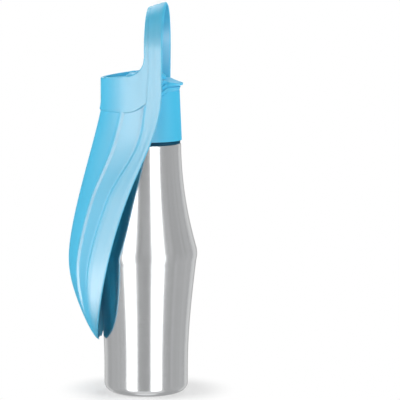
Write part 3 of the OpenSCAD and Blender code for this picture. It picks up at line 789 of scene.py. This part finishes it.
def close_wall(outer_sheet, inner_sheet):
    """Bridges the open edges of the outer face to those of the inner face."""
    pick(outer_sheet)
    inner_sheet.select_set(True)
    bpy.ops.object.join()
    trough = bpy.context.object
    loops = boundary_loops(trough.data)
    centre = [
        np.mean([
            np.array(trough.data.vertices[v].co)
            for e in loop for v in trough.data.edges[e].vertices], 0)
        for loop in loops]
    order = np.argsort([c[2] for c in centre])
    for first, second in ((order[0], order[1]), (order[2], order[3])):
        bpy.ops.object.mode_set(mode="EDIT")
        bpy.ops.mesh.select_mode(type="EDGE")
        bpy.ops.mesh.select_all(action="DESELECT")
        bpy.ops.object.mode_set(mode="OBJECT")
        for e in loops[first] | loops[second]:
            trough.data.edges[e].select = True
        bpy.ops.object.mode_set(mode="EDIT")
        bpy.ops.mesh.bridge_edge_loops()
        bpy.ops.object.mode_set(mode="OBJECT")
    bpy.ops.object.mode_set(mode="EDIT")
    bpy.ops.mesh.select_all(action="SELECT")
    bpy.ops.mesh.normals_make_consistent(inside=False)
    bpy.ops.object.mode_set(mode="OBJECT")
    return trough


def make_boss(sign):
    """The round boss inside the collar that turns on a pivot pin, with its blind bore."""
    clear_selection()
    length = COLLAR_R - BOSS_SINK - BOSS_X
    bpy.ops.mesh.primitive_cylinder_add(
        vertices=64, radius=BOSS_R * MM, depth=length * MM, end_fill_type="NGON",
        location=(sign * (BOSS_X + length / 2) * MM, 0, PIVOT_Z * MM), rotation=(0, -sign * math.pi / 2, 0))
    boss = named("boss")
    settle(boss)
    inner_face = min(boss.data.polygons, key=lambda f: sign * f.center.x).index
    bpy.ops.object.mode_set(mode="EDIT")
    bpy.ops.mesh.select_mode(type="FACE")
    bpy.ops.mesh.select_all(action="DESELECT")
    bpy.ops.object.mode_set(mode="OBJECT")
    boss.data.polygons[inner_face].select = True
    bpy.ops.object.mode_set(mode="EDIT")
    bpy.ops.mesh.inset(thickness=(BOSS_R - BORE_R) * MM)
    bore_depth = sign * (BORE_END - BOSS_X) * MM
    bpy.ops.mesh.extrude_region_move(TRANSFORM_OT_translate={"value": (bore_depth, 0, 0)})
    bpy.ops.mesh.select_all(action="SELECT")
    bpy.ops.mesh.normals_make_consistent(inside=False)
    bpy.ops.object.mode_set(mode="OBJECT")
    return boss


# Finishes

class Reading:
    """The output of a shader node. Sums and products of readings add Math nodes."""

    def __init__(self, graph, socket):
        self.graph = graph
        self.socket = socket

    def __add__(self, other):
        return self.graph.maths("ADD", self, other)

    def __radd__(self, other):
        return self.graph.maths("ADD", other, self)

    def __mul__(self, other):
        return self.graph.maths("MULTIPLY", self, other)

    def __rmul__(self, other):
        return self.graph.maths("MULTIPLY", other, self)


class Graph:
    """A tree of shader nodes."""

    def __init__(self, tree):
        self.tree = tree

    def node(self, kind, settings, sockets, output=0):
        new = self.tree.nodes.new(kind)
        for key, value in settings.items():
            setattr(new, key, value)
        for key, value in sockets.items():
            if isinstance(value, Reading):
                self.tree.links.new(value.socket, new.inputs[key])
            else:
                new.inputs[key].default_value = value
        return Reading(self, new.outputs[output])

    def end(self, kind, reading):
        # Output nodes have no output of their own, so nothing is returned
        self.tree.links.new(reading.socket, self.tree.nodes.new(kind).inputs[0])

    def maths(self, operation, first, second):
        return self.node("ShaderNodeMath", {"operation": operation}, {0: first, 1: second})

    def place(self, scale=(1, 1, 1)):
        """Places on the object, in metres, stretched along its axes."""
        spot = self.node("ShaderNodeTexCoord", {}, {}, "Object")
        return self.node("ShaderNodeMapping", {}, {"Vector": spot, "Scale": scale})

    def noise(self, scale, detail, stretch=(1, 1, 1)):
        return self.node("ShaderNodeTexNoise", {}, {
            "Vector": self.place(stretch), "Scale": scale, "Detail": detail})

    def blend(self, factor, first, second):
        return self.node("ShaderNodeMix", {"data_type": "RGBA"}, {0: factor, 6: first, 7: second}, 2)

    def bump(self, height, strength, distance):
        return self.node("ShaderNodeBump", {}, {
            "Height": height, "Strength": strength, "Distance": distance * MM})


class Finish(Graph):
    """A material and its Principled shader, whose even values are set on the shader itself."""

    def __init__(self, name, **values):
        self.material = bpy.data.materials.new(name)
        self.material.use_nodes = True
        super().__init__(self.material.node_tree)
        self.shader = self.tree.nodes["Principled BSDF"]
        for key, value in values.items():
            self.shader.inputs[key.replace("_", " ")].default_value = value

    def feed(self, **readings):
        for key, reading in readings.items():
            self.tree.links.new(reading.socket, self.shader.inputs[key.replace("_", " ")])
        return self.material


def shade(colour, share, lift=0.0):
    """A deeper or paler shade of a colour."""
    return tuple(min(1, c * share + lift) for c in colour) + (1,)


def satin_blue(name, colour):
    """Moulded plastic with a satin face: a faint cloud in its colour and a very fine grain."""
    finish = Finish(name, IOR=1.5, Specular_IOR_Level=0.5, Coat_Weight=0.15, Coat_Roughness=0.45)
    cloud = finish.noise(14, 3)
    grain = finish.noise(2600, 2)
    return finish.feed(
        Base_Color=finish.blend(cloud, shade(colour, 0.93), shade(colour, 1.05, 0.004)),
        Roughness=0.45 + 0.05 * cloud + 0.03 * grain,
        Normal=finish.bump(grain, 0.06, 0.02))


def brushed_steel(name, colour, roughness, stretch):
    """Steel with a fine brushed grain. The stretch is large along the direction that crosses the grain."""
    finish = Finish(name, Metallic=1.0)
    grain = finish.noise(1.0, 4, stretch)
    cloud = finish.noise(22, 2)
    return finish.feed(
        Base_Color=finish.blend(grain, shade(colour, 0.93), shade(colour, 1.05)),
        Roughness=roughness - 0.05 + 0.07 * grain + 0.05 * cloud,
        Normal=finish.bump(grain, 0.35, 0.02))


def plain_moulding(name, colour, roughness, **values):
    """Plain plastic or rubber with a faint cloud in its colour and a fine grain."""
    finish = Finish(name, **values)
    cloud = finish.noise(30, 3)
    grain = finish.noise(1800, 2)
    return finish.feed(
        Base_Color=finish.blend(cloud, shade(colour, 0.88), shade(colour, 1.08)),
        Roughness=roughness - 0.04 + 0.08 * cloud,
        Normal=finish.bump(grain, 0.15, 0.02))


def dress(piece, finish):
    piece.data.materials.clear()
    piece.data.materials.append(finish)


BLUE = (0.045, 0.48, 0.74)
CAP_BLUE = (0.045, 0.48, 0.75)
body_finish = brushed_steel("body_steel", (0.66, 0.67, 0.68), 0.18, (9, 9, 3200))
disc_finish = brushed_steel("base_steel", (0.62, 0.63, 0.64), 0.26, (300, 300, 40))
neck_finish = brushed_steel("neck_steel", (0.66, 0.67, 0.68), 0.24, (20, 20, 2400))
screw_finish = brushed_steel("screw_steel", (0.6, 0.61, 0.62), 0.25, (900, 900, 900))
trough_finish = satin_blue("trough_blue", BLUE)
cap_finish = satin_blue("cap_blue", CAP_BLUE)
# The dark navy of the ring under the cap is painted shade: it stands in for the shaded gap between the cap
# and the shoulder.
gap_shade_finish = plain_moulding("ring_navy_painted_shade", (0.006, 0.07, 0.13), 0.32)
liner_finish = plain_moulding("liner_natural", (0.82, 0.84, 0.83), 0.4)
silicone_finish = plain_moulding("seal_silicone", (0.6, 0.66, 0.7), 0.5, Subsurface_Weight=0.1)
rubber_finish = plain_moulding("black_rubber", (0.018, 0.018, 0.02), 0.6)

# Pieces of the bottle
steel_body = make_steel_body()
dress(steel_body, body_finish)
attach(steel_body, "bottle")
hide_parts("bottle_shell")

stand_disc = make_stand_disc()
dress(stand_disc, disc_finish)
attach(stand_disc, "bottle")
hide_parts("base_disc")

# The shoulder ring's dark colour is painted shade of the gap under the cap.
shoulder_ring = make_shoulder_ring()
dress(shoulder_ring, gap_shade_finish)
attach(shoulder_ring, "bottle")
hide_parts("shoulder_ring")

# Pieces of the cap
cap_body = eased_copy("cap_body", "cap_shell", 0.4)
pivot_block = eased_copy("pivot_block", "pivot_yoke", 0.25, slant_bands)
knob = eased_copy("knob", "valve_knob", 0.4)
for piece, body, node in (
        (cap_body, "cap", "cap_shell"), (pivot_block, "cap", "pivot_yoke"), (knob, "valve", "valve_knob")):
    dress(piece, cap_finish)
    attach(piece, body)
    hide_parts(node)

# The trough
trough_piece = make_trough()
dress(trough_piece, trough_finish)
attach(trough_piece, "trough")
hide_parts("trough")

# Solids that keep their own shape
for node, finish in (
        ("neck_insert", neck_finish), ("mouth_gasket", silicone_finish),
        ("cap_liner", liner_finish), ("spout_collar", cap_finish), ("vent_valve", silicone_finish),
        ("yoke_screws", screw_finish), ("pivot_pins", screw_finish), ("hinge_washers", rubber_finish),
        ("knob_o_ring", rubber_finish), ("valve_stem", liner_finish), ("valve_plug", silicone_finish)):
    dress(nodes[node], finish)


# The stage

def emitting(name, level, streaks):
    """A glow with upright streaks that lights nothing itself and shows only where a glossy ray meets it."""
    material = bpy.data.materials.new(name)
    material.use_nodes = True
    material.cycles.emission_sampling = "NONE"
    graph = Graph(material.node_tree)
    graph.tree.nodes.clear()
    bands = graph.noise(3.5, 4, (1, 1, 0.08))
    shades = graph.blend(bands, (1 - streaks,) * 3 + (1,), (1 + streaks,) * 3 + (1,))
    glow = graph.node("ShaderNodeEmission", {}, {"Strength": level, "Color": shades})
    graph.end("ShaderNodeOutputMaterial", glow)
    return material


def light_group(name, pieces):
    """A collection for light linking: the pieces that a lamp lights, or those that shade it."""
    group = bpy.data.collections.new(name)
    for piece in pieces:
        group.objects.link(piece)
    return group


def studio_flat(name, middle, half_width, radius, low, high, level, streaks, seen_by):
    """An upright flat round the bottle, which only some of the pieces reflect."""
    turns = np.radians(np.linspace(middle - half_width, middle + half_width, 13))
    points = np.array([
        [[radius * math.sin(a), -radius * math.cos(a), z] for a in turns] for z in (low, high)]) / MM
    flat = lay_sheet(name, points)
    flat.data.materials.append(emitting(name, level, streaks))
    flat.visible_camera = False
    flat.visible_diffuse = False
    flat.visible_shadow = False
    flat.visible_transmission = False
    flat.light_linking.receiver_collection = seen_by


LAMP_DISTANCE = 2.0
LAMP_AIM_Z = 0.16
# Watts for each square metre of a lamp whose face is as bright as white
WHITE_POWER = 4


def lamp_at(name, azimuth, half_width, elevation, half_height, level):
    """A lamp that faces the bottle, with its angles in degrees. Its level is how bright its face is."""
    width, height = (2 * LAMP_DISTANCE * math.tan(math.radians(half)) for half in (half_width, half_height))
    light = bpy.data.lights.new(name, "AREA")
    light.shape = "RECTANGLE"
    light.size = width
    light.size_y = height
    light.energy = level * width * height * WHITE_POWER
    lamp = bpy.data.objects.new(name, light)
    bpy.context.scene.collection.objects.link(lamp)
    turn, rise = math.radians(azimuth), math.radians(elevation)
    middle = Vector((0, 0, LAMP_AIM_Z))
    lamp.location = middle + LAMP_DISTANCE * Vector((
        math.sin(turn) * math.cos(rise), -math.cos(turn) * math.cos(rise), math.sin(rise)))
    aim = middle - lamp.location
    lamp.rotation_euler = aim.to_track_quat("-Z", "Y").to_euler()
    return lamp


steel_pieces = light_group(
    "steel_pieces",
    [steel_body, stand_disc] + [nodes[node] for node in ("neck_insert", "yoke_screws", "pivot_pins")])

# Lamps that light every face evenly, and apart from them the bright faces and grey flats that the steel shows
for name, azimuth, half_width, level in (
        ("soft_lamp_back", -170, 18, 3.8), ("soft_lamp_front", -15, 15, 4.0),
        ("soft_lamp_right", 75, 15, 2.9)):
    lamp = lamp_at(name, azimuth, half_width, elevation=18, half_height=28, level=level)
    lamp.visible_glossy = False

for name, azimuth, half_width, level in (
        ("face_front_left", -56, 14.5, 3.0), ("face_back_left", -124, 14, 3.0),
        ("face_front_right", 58, 12, 0.8), ("face_back_right", 130, 14, 0.75)):
    studio_flat(
        name, azimuth, half_width, radius=2.2, low=-1.56, high=2.4,
        level=level, streaks=0.1, seen_by=steel_pieces)

for name, azimuth, half_width, level in (
        ("flat_left", -94, 26, 0.46), ("flat_front", 2, 43.5, 0.55), ("flat_right", 92, 22, 0.55),
        ("flat_back", 181.5, 40.5, 0.55)):
    studio_flat(
        name, azimuth, half_width, radius=2.6, low=-1.9, high=3.4,
        level=level, streaks=0.6, seen_by=steel_pieces)
for name, azimuth, half_width, level in (("low_flat_near", -85, 65, 0.85), ("low_flat_far", 95, 115, 0.5)):
    studio_flat(
        name, azimuth, half_width, radius=2.6, low=-9.0, high=-1.9,
        level=level, streaks=0.3, seen_by=steel_pieces)

# Broad lamps that give the plastic its pale sheen and leave the steel's reflections alone. Three of different
# heights stand at the left, so that the sheen ends softly. The level tops of the pivot block and of the knob
# would only glare under them. Multiple importance sampling is off, since with it a lamp's light would also
# reach the diffuse colour.
cap_tops = (pivot_block, knob)
dressed_in_blue = (trough_piece, cap_body, *cap_tops, nodes["spout_collar"])
blue_pieces = light_group("blue_pieces", dressed_in_blue)
upright_pieces = light_group("upright_pieces", (trough_piece, cap_body))
front_pieces = light_group("front_pieces", (trough_piece, *cap_tops))
casters = light_group("sheen_shadow_casters", (*dressed_in_blue, steel_body))
studio_flat(
    "dim_surround", 0, 180, radius=3.0, low=-1.5, high=4.5, level=0.2, streaks=0.1, seen_by=blue_pieces)
for name, azimuth, half_width, elevation, half_height, level, seen_by in (
        ("sheen_left", -108, 43, -28, 20, 10.0, upright_pieces),
        ("sheen_left_mid", -108, 43, -12, 28, 2.4, upright_pieces),
        ("sheen_left_tall", -108, 43, -3, 36, 2.1, upright_pieces),
        ("sheen_high", -95, 34, 61, 20, 1.4, blue_pieces),
        ("sheen_front", 24, 14, -9, 10, 4.5, front_pieces),
        ("sheen_right", 105, 20, 38, 13, 3.0, blue_pieces)):
    lamp = lamp_at(name, azimuth, half_width, elevation, half_height, level)
    lamp.visible_diffuse = False
    lamp.data.cycles.use_multiple_importance_sampling = False
    lamp.light_linking.receiver_collection = seen_by
    lamp.light_linking.blocker_collection = casters


# The floor is lit, and where the camera sees it, it turns into a white glow. The glow grows from its least
# share under the bottle to its full share between these distances from the axis.
SHADE_FROM = 0.036
SHADE_TO = 0.075
LEAST_GLOW = 0.35


def make_floor():
    clear_selection()
    bpy.ops.mesh.primitive_circle_add(vertices=96, radius=1.4, fill_type="NGON", location=(0, 0, 0))
    floor = settle(named("floor"))
    finish = Finish("floor_white", Base_Color=(0.86, 0.86, 0.86, 1), Roughness=0.9, Specular_IOR_Level=0.0)
    spot = finish.node("ShaderNodeTexCoord", {}, {}, "Object")
    away = finish.node("ShaderNodeVectorMath", {"operation": "LENGTH"}, {0: spot}, "Value")
    spread = finish.node("ShaderNodeMapRange", {"interpolation_type": "SMOOTHSTEP"}, {
        "Value": away, "From Min": SHADE_FROM, "From Max": SHADE_TO, "To Min": LEAST_GLOW})
    to_camera = finish.node("ShaderNodeLightPath", {}, {}, "Is Camera Ray")
    lit = Reading(finish, finish.shader.outputs[0])
    glow = finish.node("ShaderNodeEmission", {}, {})
    both = finish.node("ShaderNodeMixShader", {}, {0: spread * to_camera, 1: lit, 2: glow})
    finish.tree.links.new(both.socket, finish.tree.nodes["Material Output"].inputs[0])
    floor.data.materials.append(finish.material)
    floor.visible_glossy = False


def make_world(fill_level, seen_level):
    """White air. It fills with one level and is seen, directly and in shiny faces, at another."""
    world = bpy.data.worlds.new("studio")
    world.use_nodes = True
    air = Graph(world.node_tree)
    air.tree.nodes.clear()
    direct, mirrored, passed = (
        air.node("ShaderNodeLightPath", {}, {}, ray)
        for ray in ("Is Camera Ray", "Is Glossy Ray", "Is Transmission Ray"))
    seen = air.maths("MAXIMUM", air.maths("MAXIMUM", direct, mirrored), passed)
    fill, backdrop = (
        air.node("ShaderNodeBackground", {}, {"Color": (1, 1, 1, 1), "Strength": level})
        for level in (fill_level, seen_level))
    air.end("ShaderNodeOutputWorld", air.node("ShaderNodeMixShader", {}, {0: seen, 1: fill, 2: backdrop}))
    bpy.context.scene.world = world


make_floor()
make_world(fill_level=0.2, seen_level=1.0)

# The camera stands on the -X side, which is the left as seen from the front, a little above the bottle, and
# is panned to the photo's framing
CAMERA_AZIMUTH = -84.3
CAMERA_HEIGHT = 7.0
CAMERA_DISTANCE = 1.805
CAMERA_AIM_Z = 0.1569
PAN = 1.389
SENSOR = 36.0
FOCAL_PIXELS = 2219.0
PICTURE = 400.0

azimuth, elevation = math.radians(CAMERA_AZIMUTH), math.radians(CAMERA_HEIGHT)
towards = Vector((
    math.sin(azimuth) * math.cos(elevation), -math.cos(azimuth) * math.cos(elevation), math.sin(elevation)))
camera_data = bpy.data.cameras.new("camera")
camera_data.sensor_width = SENSOR
camera_data.lens = SENSOR * FOCAL_PIXELS / PICTURE
camera = bpy.data.objects.new("camera", camera_data)
bpy.context.scene.collection.objects.link(camera)
camera.location = Vector((0, 0, CAMERA_AIM_Z)) + CAMERA_DISTANCE * towards
look = (-towards).to_track_quat("-Z", "Y").to_matrix().to_4x4()
pan = Matrix.Rotation(math.radians(-PAN), 4, look.col[1].to_3d())
camera.rotation_euler = (pan @ look).to_euler()
bpy.context.scene.camera = camera

bpy.context.scene.view_settings.view_transform = "Standard"

clear_selection()
